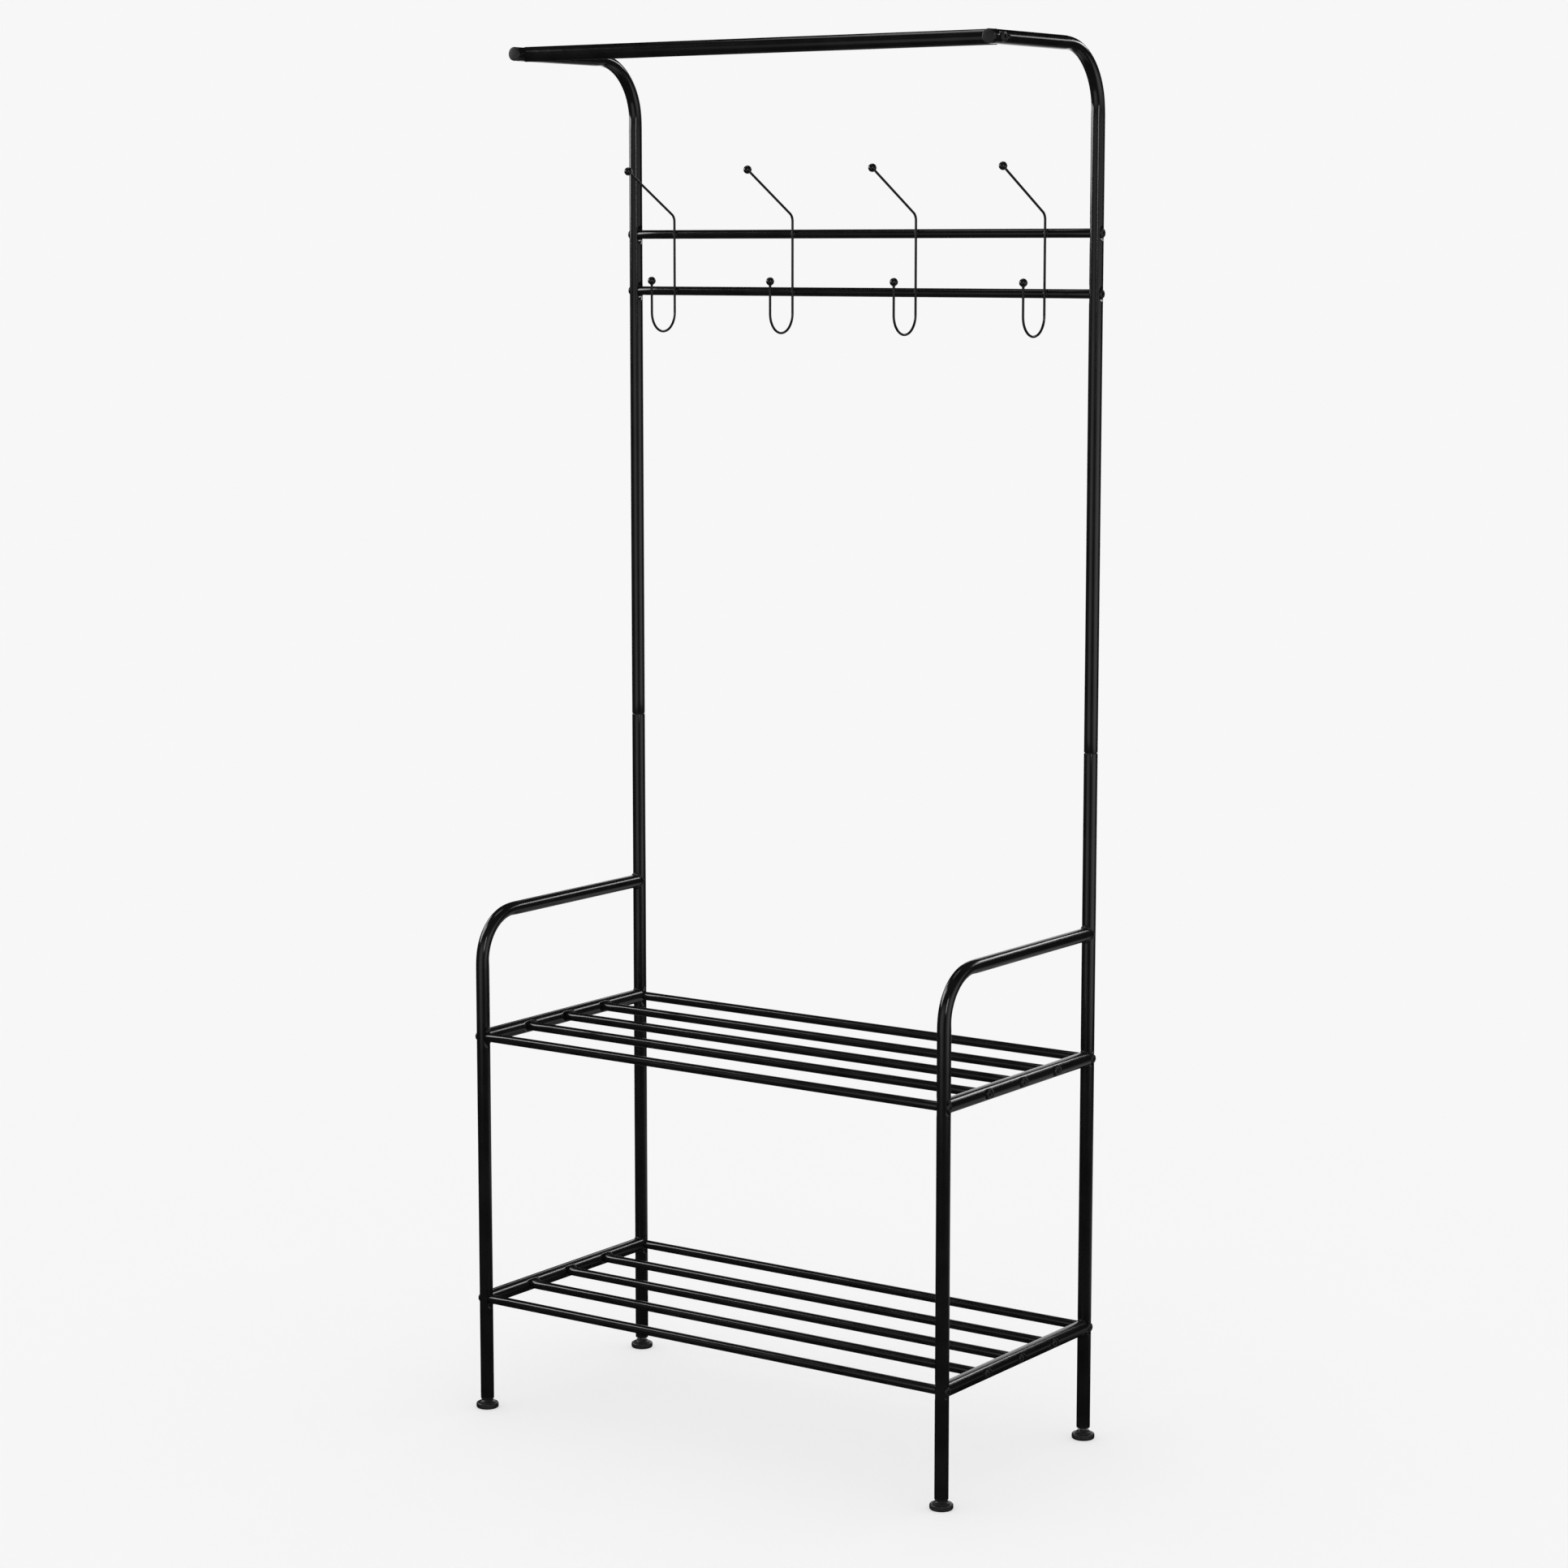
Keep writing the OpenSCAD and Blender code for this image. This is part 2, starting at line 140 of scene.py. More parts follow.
def noise(tree, coordinates, scale, detail=2.0, stretch=(1, 1, 1)):
    """A noise pattern with that many features to a metre."""
    mapping = tree.nodes.new("ShaderNodeMapping")
    mapping.inputs["Scale"].default_value = stretch
    tree.links.new(coordinates, mapping.inputs["Vector"])
    texture = tree.nodes.new("ShaderNodeTexNoise")
    texture.inputs["Scale"].default_value = scale
    texture.inputs["Detail"].default_value = detail
    tree.links.new(mapping.outputs["Vector"], texture.inputs["Vector"])
    return texture.outputs["Fac"]


def remap(tree, value, lowest, highest):
    """Spreads the middle of a noise pattern over a range."""
    node = tree.nodes.new("ShaderNodeMapRange")
    node.inputs["From Min"].default_value = 0.3
    node.inputs["From Max"].default_value = 0.7
    node.inputs["To Min"].default_value = lowest
    node.inputs["To Max"].default_value = highest
    tree.links.new(value, node.inputs["Value"])
    return node.outputs["Result"]


def colour_between(tree, value, dark, light):
    node = tree.nodes.new("ShaderNodeValToRGB")
    node.color_ramp.elements[0].position = 0.35
    node.color_ramp.elements[0].color = (*dark, 1)
    node.color_ramp.elements[1].position = 0.65
    node.color_ramp.elements[1].color = (*light, 1)
    tree.links.new(value, node.inputs["Fac"])
    return node.outputs["Color"]


def bump(tree, height, depth, under=None):
    node = tree.nodes.new("ShaderNodeBump")
    node.inputs["Strength"].default_value = 1
    node.inputs["Distance"].default_value = depth
    tree.links.new(height, node.inputs["Height"])
    if under is not None:
        tree.links.new(under, node.inputs["Normal"])
    return node.outputs["Normal"]


def powder_coat(name, peel_depth):
    """Satin black powder coat: fine orange peel, faint cloudiness in colour and gloss."""
    material, tree, shader, place = new_material(name)
    cloud = noise(tree, place, 22, detail=3)
    peel = noise(tree, place, 300, detail=1)
    grain = noise(tree, place, 1500, detail=1)
    colour = colour_between(tree, cloud, (0.0036, 0.0036, 0.0038), (0.0056, 0.0055, 0.0058))
    tree.links.new(colour, shader.inputs["Base Color"])
    tree.links.new(remap(tree, noise(tree, place, 60), 0.13, 0.17), shader.inputs["Roughness"])
    waves = bump(tree, peel, peel_depth)
    tree.links.new(bump(tree, grain, peel_depth / 12, under=waves), shader.inputs["Normal"])
    shader.inputs["Specular IOR Level"].default_value = 0.5
    return material


def black_plate(name):
    """Black plated bolt steel: darker than bare steel, with fine turning marks."""
    material, tree, shader, place = new_material(name)
    marks = noise(tree, place, 1500, stretch=(4, 1, 1))
    mottle = noise(tree, place, 180)
    colour = colour_between(tree, mottle, (0.006, 0.006, 0.0065), (0.012, 0.012, 0.0125))
    tree.links.new(colour, shader.inputs["Base Color"])
    tree.links.new(remap(tree, noise(tree, place, 400), 0.28, 0.40), shader.inputs["Roughness"])
    tree.links.new(bump(tree, marks, 0.01 * MM), shader.inputs["Normal"])
    shader.inputs["Specular IOR Level"].default_value = 0.4
    return material


def zinc_plate(name):
    """Bright zinc plate on turned steel, with patches of duller plating."""
    material, tree, shader, place = new_material(name)
    colour = colour_between(tree, noise(tree, place, 90, detail=4), (0.42, 0.43, 0.45), (0.62, 0.63, 0.66))
    tree.links.new(colour, shader.inputs["Base Color"])
    tree.links.new(remap(tree, noise(tree, place, 300), 0.26, 0.44), shader.inputs["Roughness"])
    marks = noise(tree, place, 900, stretch=(1, 1, 8))
    tree.links.new(bump(tree, marks, 0.01 * MM), shader.inputs["Normal"])
    shader.inputs["Metallic"].default_value = 1.0
    return material


def moulded_plastic(name):
    """Black moulded polypropylene: satin skin with a fine spark-eroded grain."""
    material, tree, shader, place = new_material(name)
    mottle = noise(tree, place, 150, detail=3)
    colour = colour_between(tree, mottle, (0.007, 0.007, 0.0073), (0.012, 0.012, 0.0124))
    tree.links.new(colour, shader.inputs["Base Color"])
    tree.links.new(remap(tree, noise(tree, place, 700), 0.30, 0.42), shader.inputs["Roughness"])
    grain = noise(tree, place, 1800, detail=2)
    tree.links.new(bump(tree, grain, 0.02 * MM), shader.inputs["Normal"])
    shader.inputs["Specular IOR Level"].default_value = 0.45
    return material


COAT = powder_coat("black_powder_coat", 0.006 * MM)
WELD_COAT = powder_coat("powder_coated_weld", 0.03 * MM)
BLACK_ZINC = black_plate("black_zinc")
ZINC = zinc_plate("zinc_steel")
PLASTIC = moulded_plastic("black_plastic")


# ---- Mesh helpers ----

def ring_part(rings, closed=False):
    """Points and faces of a shape made of rings: closed joins the last ring to the first, else the ends are
    capped."""
    rings = np.asarray(rings)
    count, sides = rings.shape[:2]
    faces = []
    for i in range(count if closed else count - 1):
        a = i * sides
        b = (i + 1) % count * sides
        for j in range(sides):
            k = (j + 1) % sides
            faces.append((a + j, a + k, b + k, b + j))
    if not closed:
        faces.append(tuple(reversed(range(sides))))
        faces.append(tuple(range((count - 1) * sides, count * sides)))
    return rings.reshape(-1, 3), faces


def make_piece(name, parts, material, body="root", replaces=(), crease=38):
    """One named piece out of closed parts, smooth but for edges sharper than the crease angle."""
    points, faces = [], []
    for part_points, part_faces in parts:
        start = sum(len(p) for p in points)
        points.append(part_points)
        faces += [tuple(start + i for i in face) for face in part_faces]
    mesh = bpy.data.meshes.new(name)
    mesh.from_pydata(np.concatenate(points).tolist(), [], faces)
    shape = bmesh.new()
    shape.from_mesh(mesh)
    bmesh.ops.recalc_face_normals(shape, faces=shape.faces)
    shape.to_mesh(mesh)
    shape.free()
    mesh.shade_smooth()
    mesh.set_sharp_from_angle(angle=math.radians(crease))
    mesh.materials.append(material)
    piece = bpy.data.objects.new(name, mesh)
    scene.collection.objects.link(piece)
    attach(piece, body)
    if replaces:
        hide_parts(*replaces)


def smooth(t):
    """0 below 0, 1 above 1, and a smooth step between."""
    t = np.clip(t, 0, 1)
    return t * t * (3 - 2 * t)


# ---- Tubes ----

def straight_path(start, end):
    """Length of a straight run, and a function from the distance along it to the point and direction."""
    start, end = np.array(start), np.array(end)
    length = np.linalg.norm(end - start)
    direction = (end - start) / length
    return length, (), lambda s: (start + direction * s, direction)


def bent_path(start, corner, end, bend_r):
    """The same for a run with one round bend; the second value is where the bend starts and ends."""
    start, corner, end = (np.array(p) for p in (start, corner, end))
    before = (corner - start) / np.linalg.norm(corner - start)
    after = (end - corner) / np.linalg.norm(end - corner)
    turn = math.acos(before @ after)
    inward = after - before * math.cos(turn)
    inward /= np.linalg.norm(inward)
    trim = bend_r * math.tan(turn / 2)
    bend_start = np.linalg.norm(corner - start) - trim
    bend_end = bend_start + bend_r * turn
    length = bend_end + np.linalg.norm(end - corner) - trim
    centre = corner - before * trim + inward * bend_r

    def at(s):
        if s <= bend_start:
            return start + before * s, before
        if s >= bend_end:
            return end - after * (length - s), after
        angle = (s - bend_start) / bend_r
        direction = before * math.cos(angle) + inward * math.sin(angle)
        return centre - bend_r * (inward * math.cos(angle) - before * math.sin(angle)), direction

    return length, (bend_start, bend_end), at


def ring_places(length, bend, dents, copes):
    """Distances along a tube where it has a ring: sparse on plain runs, close where it is shaped."""
    places = list(np.linspace(0, length, int(length / PLAIN_STEP) + 2))
    for distance, _, _, _, reach in dents:
        places += list(np.arange(distance - reach, distance + reach + FINE_STEP, FINE_STEP))
    if bend:
        places += list(np.arange(bend[0] - BEND_RAMP, bend[1] + BEND_RAMP, BEND_STEP))
    for edge in RIM_ROUND * np.array([0.08, 0.25, 0.5, 1.0]):
        places += [edge, length - edge]
    for end in copes:
        zone = np.linspace(0, COPE_ZONE, 8)
        places += list(zone if end == "start" else length - zone)
    places = sorted(p for p in places if 0 <= p <= length)
    kept = [0.0]
    for place in places:
        if place - kept[-1] > LEAST_STEP and place < length - LEAST_STEP:
            kept.append(place)
    return kept + [length]


def press_in(u, v, away, dent, inset):
    """Pushes the points of one ring in where a dent's flat seat and its soft rim are."""
    _, angle, seat, flat, reach = dent
    if abs(away) >= reach:
        return u, v
    c, s = math.cos(angle), math.sin(angle)
    height = u * c + v * s
    across = v * c - u * s
    fade = 1 - smooth((np.hypot(away, across) - flat) / (reach - flat))
    push = np.where(height > 0, np.maximum(height - seat + inset, 0) * fade, 0)
    height = height - push
    return height * c - across * s, height * s + across * c


def plain_cope(u, v):
    """Setback of a coped end along the normal's side of a frame tube, which stands square to the normal."""
    return np.sqrt(np.maximum((TUBE_R + WELD_GAP) ** 2 - u**2, 0))


def notched_cope(u, v):
    """The same for a side rail, with round notches that clear the bolt heads and bar ends."""
    notch = np.sqrt(np.maximum(BOLT_NOTCH_R**2 - v**2, 0)) * (np.abs(u) > BAR_SEAT)
    return np.maximum(plain_cope(u, v), notch)


def hanging_rail_cope(u, v):
    """The same for the hanging rail, whose end fits an arm that lies along the normal."""
    return np.maximum(plain_cope(v, u), RAIL_END_TRIM)


def tube_part(path, normal, radius, wall, dents=(), copes=(), cope=plain_cope):
    """Hollow tube along a path. normal is square to the path and to its bend, and angles start from it.
    A dent is (distance, angle, seat, flat radius, reach). A coped end runs up to the axis of the frame tube
    that it is cut to fit, and cope gives how far short of that axis each point of it stops."""
    length, bend, at = path
    angles = np.arange(SEGMENTS) * 2 * math.pi / SEGMENTS
    places = ring_places(length, bend, dents, copes)

    def skin(inset):
        rings = []
        for place in places:
            point, direction = at(place)
            up = np.cross(direction, normal)
            r = radius - inset
            for end, edge in (("start", place), ("end", length - place)):
                if end not in copes and edge < RIM_ROUND:
                    r -= RIM_ROUND - math.sqrt(RIM_ROUND**2 - (RIM_ROUND - edge) ** 2) if inset == 0 else 0
            bent = 0
            if bend:
                bent = smooth((place - bend[0]) / BEND_RAMP + 0.5)
                bent *= smooth((bend[1] - place) / BEND_RAMP + 0.5)
            u = r * np.cos(angles) * (1 - BEND_NARROWING * bent)
            v = r * np.sin(angles) * (1 - BEND_FLATTENING * bent)
            for dent in dents:
                u, v = press_in(u, v, place - dent[0], dent, inset)
            shift = np.zeros(SEGMENTS)
            setback = cope(u, v)
            if "start" in copes:
                shift += setback * max(0, 1 - place / COPE_ZONE)
            if "end" in copes:
                shift -= setback * max(0, 1 - (length - place) / COPE_ZONE)
            rings.append(point + np.outer(shift, direction) + np.outer(u, normal) + np.outer(v, up))
        return rings

    return ring_part(skin(0) + skin(wall)[::-1], closed=True)


def bolt_dent(distance, side):
    """Soft round seat for a bolt head, on the outside of the left (-1) or right (1) frame."""
    return (distance, 0 if side > 0 else math.pi, HEAD_SEAT, 6.6 * MM, 11 * MM)


def bar_dent(distance, side):
    """Seat for a bar's end, on the inside of the frame."""
    return (distance, math.pi if side > 0 else 0, BAR_SEAT, 6.7 * MM, 15 * MM)


def both_dents(distances, side):
    return [make(d, side) for d in distances for make in (bolt_dent, bar_dent)]


def make_side_frame(word, side):
    """Front leg with armrest, rear post, upper post with arm, and the two side rails."""
    x = side * FRAME_X
    leg_bottom = low(f"{word}_front_leg").z
    post_bottom = low(f"{word}_rear_post").z
    post_top = high(f"{word}_rear_post").z
    upper_bottom = low(f"{word}_upper_post").z
    leg = bent_path((x, FRONT_Y, leg_bottom), (x, FRONT_Y, ARMREST_Z), (x, REAR_Y, ARMREST_Z),
                    ARMREST_BEND_R)
    make_piece(
        f"{word}_front_leg_tube",
        [tube_part(leg, X_AXIS, TUBE_R, TUBE_WALL,
                   both_dents([z - leg_bottom for z in SHELF_ZS.values()], side), ("end",))],
        COAT, replaces=[f"{word}_front_leg"])
    post = straight_path((x, REAR_Y, post_bottom), (x, REAR_Y, post_top))
    make_piece(
        f"{word}_rear_post_tube",
        [tube_part(post, X_AXIS, TUBE_R, TUBE_WALL,
                   both_dents([z - post_bottom for z in SHELF_ZS.values()], side))],
        COAT, replaces=[f"{word}_rear_post"])
    upper = bent_path((x, REAR_Y, upper_bottom), (x, REAR_Y, ARM_Z), (x, ARM_END_Y, ARM_Z), ARM_BEND_R)
    rail_seat = (upper[0] - (HANGING_RAIL_Y - ARM_END_Y), 0 if side > 0 else math.pi,
                 RAIL_HEAD_SEAT, 7.4 * MM, 10.0 * MM)
    make_piece(
        f"{word}_upper_post_tube",
        [tube_part(upper, X_AXIS, TUBE_R, TUBE_WALL,
                   both_dents([z - upper_bottom for z in HOOK_RAIL_ZS], side) + [rail_seat])],
        COAT, replaces=[f"{word}_upper_post"])
    for shelf, z in SHELF_ZS.items():
        rail = straight_path((x, FRONT_Y, z), (x, REAR_Y, z))
        dents = both_dents([y - FRONT_Y for y in MIDDLE_BAR_YS], side)
        make_piece(
            f"{word}_{shelf}_rail_tube",
            [tube_part(rail, X_AXIS, RAIL_R, TUBE_WALL, dents, ("start", "end"), notched_cope)],
            COAT, replaces=[f"{word}_{shelf}_rail"])


def make_cross_tubes():
    """Shelf bars and hook rails between the pressed seats, and the hanging rail between the arms."""
    bars = [f"{shelf}_bar_{i}" for shelf in SHELF_ZS for i in range(1, 6)]
    for node in bars + ["upper_hook_rail", "lower_hook_rail"]:
        place = middle(node)
        path = straight_path((-BAR_HALF, place.y, place.z), (BAR_HALF, place.y, place.z))
        make_piece(f"{node}_tube", [tube_part(path, Y_AXIS, BAR_R, BAR_WALL)],
                   COAT, replaces=[node])
    path = straight_path((-FRAME_X, HANGING_RAIL_Y, ARM_Z), (FRAME_X, HANGING_RAIL_Y, ARM_Z))
    rail = tube_part(path, Y_AXIS, RAIL_R, TUBE_WALL, copes=("start", "end"), cope=hanging_rail_cope)
    make_piece("hanging_rail_tube", [rail], COAT, replaces=["hanging_rail"])


# ---- Turned and swept parts ----

def turned_part(outline, place, axis, sides=48):
    """Round part from an outline of (radius, height) pairs, turned about an axis that starts at a place."""
    axis = np.array(axis, float) / np.linalg.norm(axis)
    first = np.cross(axis, X_AXIS if abs(axis[0]) < 0.9 else Y_AXIS)
    first /= np.linalg.norm(first)
    second = np.cross(axis, first)
    angles = np.arange(sides) * 2 * math.pi / sides
    rings = []
    for radius, height in outline:
        r = radius(angles) if callable(radius) else np.full(sides, radius)
        rings.append(np.array(place) + height * axis
                     + np.outer(r * np.cos(angles), first) + np.outer(r * np.sin(angles), second))
    return ring_part(rings)


def arc(centre_r, centre_h, radius, start, end, steps=6):
    """Points of an arc in an outline, with angles in degrees from the outward direction."""
    turns = np.radians(np.linspace(start, end, steps + 1))
    return [(centre_r + radius * math.cos(t), centre_h + radius * math.sin(t)) for t in turns]


def swept_part(points, normals, radii, closed=False, sides=16):
    """Round bead along points; each normal points away from what the bead lies on."""
    points, normals = np.asarray(points), np.asarray(normals)
    if closed:
        tangents = np.roll(points, -1, 0) - np.roll(points, 1, 0)
    else:
        tangents = np.gradient(points, axis=0)
    tangents /= np.linalg.norm(tangents, axis=1)[:, None]
    normals = normals - (normals * tangents).sum(1)[:, None] * tangents
    normals /= np.linalg.norm(normals, axis=1)[:, None]
    binormals = np.cross(tangents, normals)
    angles = np.arange(sides) * 2 * math.pi / sides
    rings = [p + r * (np.outer(np.cos(angles), n) + np.outer(np.sin(angles), b))
             for p, n, b, r in zip(points, normals, binormals, radii)]
    return ring_part(rings, closed)


# ---- Bolts ----

def bolt_part(place, axis, shank_r, length, head_r, head_h, flats):
    """Button-head bolt with a hex socket; the place is under its head."""
    edge = head_h * 0.45
    socket_r = flats / 2

    def hexagon(angles):
        turn = np.mod(angles, math.pi / 3) - math.pi / 6
        return socket_r / np.cos(turn)

    crown = 0.35 * MM
    dome_width = head_r - edge - socket_r * 1.3
    dome = [(head_r - edge - dome_width * t, head_h + crown * math.sin(t * math.pi / 2))
            for t in (0.25, 0.5, 0.75, 1.0)]
    outline = [(shank_r * 0.8, -length), (shank_r, -length + shank_r * 0.2), (shank_r, 0)]
    outline += [(head_r - 0.25 * MM, 0), (head_r, 0.25 * MM), (head_r, head_h - edge)]
    outline += arc(head_r - edge, head_h - edge, edge, 15, 90)
    outline += dome
    outline += [(lambda a: hexagon(a) * 1.03, head_h + crown - 0.1 * MM), (hexagon, head_h - 0.35 * MM),
                (hexagon, head_h * 0.35)]
    return turned_part(outline, place, axis, sides=48)


def make_bolts():
    """The 24 bar bolts in three groups, and the two larger bolts of the hanging rail."""
    groups = {
        "seat_bar_bolts": [(y, SHELF_ZS["seat"]) for y in BAR_YS],
        "low_bar_bolts": [(y, SHELF_ZS["low"]) for y in BAR_YS],
        "hook_rail_bolts": [(REAR_Y, z) for z in HOOK_RAIL_ZS],
    }
    length = HEAD_SEAT + BAR_SEAT + 16 * MM
    for node, places in groups.items():
        parts = [bolt_part((side * (FRAME_X + HEAD_SEAT), y, z), (side, 0, 0), shank_r=3 * MM,
                           length=length, head_r=6 * MM, head_h=3 * MM, flats=4 * MM)
                 for _, side in SIDES for y, z in places]
        make_piece(f"{node}_turned", parts, BLACK_ZINC, replaces=[node])
    length = RAIL_HEAD_SEAT + RAIL_BOLT_REACH
    parts = [bolt_part((side * (FRAME_X + RAIL_HEAD_SEAT), HANGING_RAIL_Y, ARM_Z), (side, 0, 0),
                       shank_r=4 * MM, length=length, head_r=7 * MM, head_h=3.6 * MM, flats=5 * MM)
             for _, side in SIDES]
    make_piece("hanging_rail_bolts_turned", parts, BLACK_ZINC,
               replaces=["hanging_rail_bolts"])


# ---- Welds ----

def saddle_points(x, post_y, facing, z, radius, turns):
    """Points where a horizontal tube of some radius meets an upright frame tube, and directions out of it.
    facing is the side of the post (-1 front, 1 rear) that the tube comes from."""
    soften = 2.2 * MM
    stand_out = 0.15 * MM
    u = radius * np.cos(turns)
    away = np.sqrt(np.maximum(TUBE_R**2 - u**2, 0) + soften**2)
    points = np.stack([x + u, post_y + facing * away, z + radius * np.sin(turns)], axis=1)
    normals = points - np.array([x, post_y + facing * TUBE_R * 0.4, z])
    normals /= np.linalg.norm(normals, axis=1)[:, None]
    return points + normals * stand_out, normals


def ripple(turns, x):
    """Unevenness of a weld bead along its length."""
    return 1 + 0.10 * np.sin(turns * 31) + 0.07 * np.sin(turns * 13 + x * 50)


def armrest_weld(x):
    """Bead all round the armrest's end, thickest above and below."""
    turns = np.arange(160) * 2 * math.pi / 160
    points, normals = saddle_points(x, REAR_Y, -1, ARMREST_Z, TUBE_R, turns)
    radii = 2.4 * MM * ripple(turns, x) * (0.55 + 0.6 * np.abs(np.sin(turns)) ** 3)
    return swept_part(points, normals, radii, closed=True)


def rail_weld(x, post_y, facing, z, above):
    """Bead over (above = 1) or under (above = -1) a side rail's end; bolts are in the way at its sides."""
    share = np.linspace(-1, 1, 60)
    turns = above * (math.pi / 2 + math.radians(34) * share)
    points, normals = saddle_points(x, post_y, facing, z, RAIL_R, turns)
    radii = 1.7 * MM * ripple(turns, x) * np.sqrt(1 - 0.97 * share**4)
    return swept_part(points, normals, radii)


def wire_weld(x, side, z):
    """Bead beside a hook's wire, round the front of the hook rail that it crosses."""
    count = 28
    half_angle = math.radians(58)
    turns = np.linspace(-half_angle, half_angle, count)
    share = turns / half_angle
    lie_r = BAR_R + 0.35 * MM
    sideways = x + side * (WIRE_R + 0.25 * MM + 0.25 * MM * np.sin(turns * 9 + x * 40))
    points = np.stack([sideways, REAR_Y - lie_r * np.cos(turns), z + lie_r * np.sin(turns)], axis=1)
    normals = points - np.array([x, REAR_Y, z])
    waves = 1 + 0.12 * np.sin(turns * 14 + side + x * 30)
    radii = 1.15 * MM * np.sqrt(np.maximum(1 - share**2, 0.02)) * waves
    return swept_part(points, normals, radii, sides=12)


def make_welds():
    for word, side in SIDES:
        x = side * FRAME_X
        make_piece(f"{word}_armrest_weld", [armrest_weld(x)], WELD_COAT)
        rail_welds = [rail_weld(x, y, facing, z, above) for z in SHELF_ZS.values()
                      for y, facing in ((FRONT_Y, 1), (REAR_Y, -1)) for above in (1, -1)]
        make_piece(f"{word}_rail_welds", rail_welds, WELD_COAT)
    wire_welds = [wire_weld(x, side, z) for x in HOOK_XS for z in HOOK_RAIL_ZS for _, side in SIDES]
    make_piece("hook_welds", wire_welds, WELD_COAT)


# ---- Hooks ----

WIRE_Y = REAR_Y - BAR_R - WIRE_R - WELD_GAP
HOOK_LEAN = math.pi / 2 - math.atan(HOOK_RISE / HOOK_REACH)
HOOK_TANGENT = HOOK_BEND_R * math.tan(HOOK_LEAN / 2)
HOOK_CORNER_Z = HOOK_RAIL_ZS[0] + HOOK_CORNER_UP
J_CENTRE_Z = low("hook_1").z + J_RADIUS + WIRE_R
LOWER_BALL = (WIRE_Y - 2 * J_RADIUS, J_CENTRE_Z + J_FRONT)
UPPER_BALL = (WIRE_Y - HOOK_REACH, HOOK_CORNER_Z + HOOK_RISE)
ARM_DIRECTION = np.array([0, -math.sin(HOOK_LEAN), math.cos(HOOK_LEAN)])


def hook_part(x):
    """Bent wire of one hook: from its lower ball round the J, up past both rails, to the upper ball."""
    route = [(LOWER_BALL[0], z) for z in np.linspace(LOWER_BALL[1] - BALL_SOCKET, J_CENTRE_Z, 6)[:-1]]
    for turn in np.linspace(math.pi, 2 * math.pi, 49):
        route.append((WIRE_Y - J_RADIUS * (1 - math.cos(turn)), J_CENTRE_Z + J_RADIUS * math.sin(turn)))
    bend_z = HOOK_CORNER_Z - HOOK_TANGENT
    route += [(WIRE_Y, z) for z in np.linspace(J_CENTRE_Z, bend_z, 12)[1:-1]]
    for turn in np.linspace(0, HOOK_LEAN, 19):
        route.append((WIRE_Y - HOOK_BEND_R * (1 - math.cos(turn)), bend_z + HOOK_BEND_R * math.sin(turn)))
    arm_start = np.array([x, *route[-1]])
    arm_end = np.array([x, *UPPER_BALL]) - ARM_DIRECTION * BALL_SOCKET
    route += [tuple((arm_start + (arm_end - arm_start) * t)[1:]) for t in np.linspace(0, 1, 8)[1:]]
    points = [(x, y, z) for y, z in route]
    return swept_part(points, [X_AXIS] * len(points), [WIRE_R] * len(points), sides=24)


def ball_part(place, axis):
    """Ball on a wire's end, with a fillet of paint where the wire goes in. The axis points out of its far
    end."""
    neck = [(WIRE_R + 0.03 * MM + 0.75 * MM * t**2.2, -BALL_R - (1.3 - 1.75 * t) * MM)
            for t in (0, 0.3, 0.55, 0.8)]
    outline = neck + arc(0, 0, BALL_R, BALL_START, 88, 26)
    return turned_part(outline, place, axis, sides=40)


def make_hooks():
    balls = []
    for i, x in enumerate(HOOK_XS, start=1):
        make_piece(f"hook_{i}_wire", [hook_part(x)], COAT, replaces=[f"hook_{i}"])
        balls.append(ball_part((x, *LOWER_BALL), (0, 0, 1)))
        balls.append(ball_part((x, *UPPER_BALL), ARM_DIRECTION))
    make_piece("hook_balls_painted", balls, COAT, replaces=["hook_balls"])


# ---- Arm caps and feet ----

def make_arm_caps():
    """Slightly domed plastic caps with a round edge and a fine groove where they meet the tube."""
    head = ARM_END_Y - CAP_FACE_Y
    plug_r = TUBE_R - TUBE_WALL - 0.1 * MM
    edge = 1.5 * MM
    for word, side in SIDES:
        outline = [(1 * MM, -0.30 * MM), (4 * MM, -0.22 * MM), (TUBE_R - edge, 0)]
        outline += arc(TUBE_R - edge, edge, edge, -90, 0)[1:]
        outline += [(TUBE_R, head - 0.35 * MM), (TUBE_R - 0.3 * MM, head - 0.05 * MM), (plug_r, head)]
        outline += [(plug_r, head + 10 * MM), (plug_r - 1 * MM, head + 11 * MM)]
        cap = turned_part(outline, (side * FRAME_X, CAP_FACE_Y + 0.3 * MM, ARM_Z), (0, 1, 0), sides=64)
        make_piece(f"{word}_arm_cap_moulded", [cap], PLASTIC, replaces=[f"{word}_arm_cap"])


